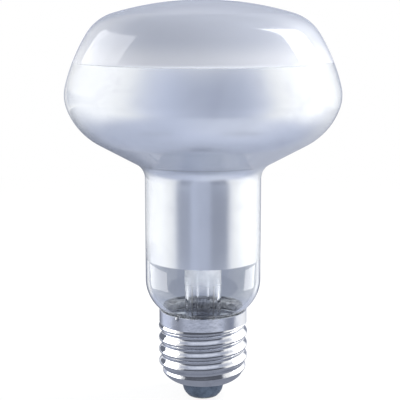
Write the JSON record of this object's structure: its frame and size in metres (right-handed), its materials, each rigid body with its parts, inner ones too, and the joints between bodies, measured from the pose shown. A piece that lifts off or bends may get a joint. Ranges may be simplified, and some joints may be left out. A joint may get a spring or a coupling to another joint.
{
  "type": "reflector bulb",
  "caption": "Mains reflector lamp: blown glass bulb with a frosted domed face, mirrored body and clear neck window on a rolled metal screw cap with a centre contact.",
  "frame": {"origin": "on the lamp's axis at the underside of the centre contact", "axes": "+Z along the lamp's axis from the centre contact to the face, X and Y across it"},
  "size_m": [0.08, 0.08, 0.1175],
  "materials": {
    "bulb_glass": "clear, frosted on the face",
    "mirror_silver": "satin silver",
    "stem_glass": "clear",
    "lead_metal": "drawn wire",
    "filament_metal": "dull grey",
    "cement": "matte",
    "cap_metal": "polished",
    "insulator_glass": "dark, glossy",
    "contact_metal": "satin",
    "solder": "dull"
  },
  "bodies": {
    "root": {"glass_envelope": "bulb_glass", "mirror_coating": "mirror_silver", "glass_stem": "stem_glass", "exhaust_tube": "stem_glass", "side_lead_wire": "lead_metal", "center_lead_wire": "lead_metal", "filament_coil": "filament_metal", "support_wire_1": "lead_metal", "support_wire_2": "lead_metal", "support_wire_3": "lead_metal", "support_wire_4": "lead_metal", "support_wire_5": "lead_metal", "cap_cement": "cement", "cap_shell": "cap_metal", "cap_insulator": "insulator_glass", "contact_plate": "contact_metal", "contact_solder": "solder", "side_solder": "solder"}
  },
  "joints": []
}
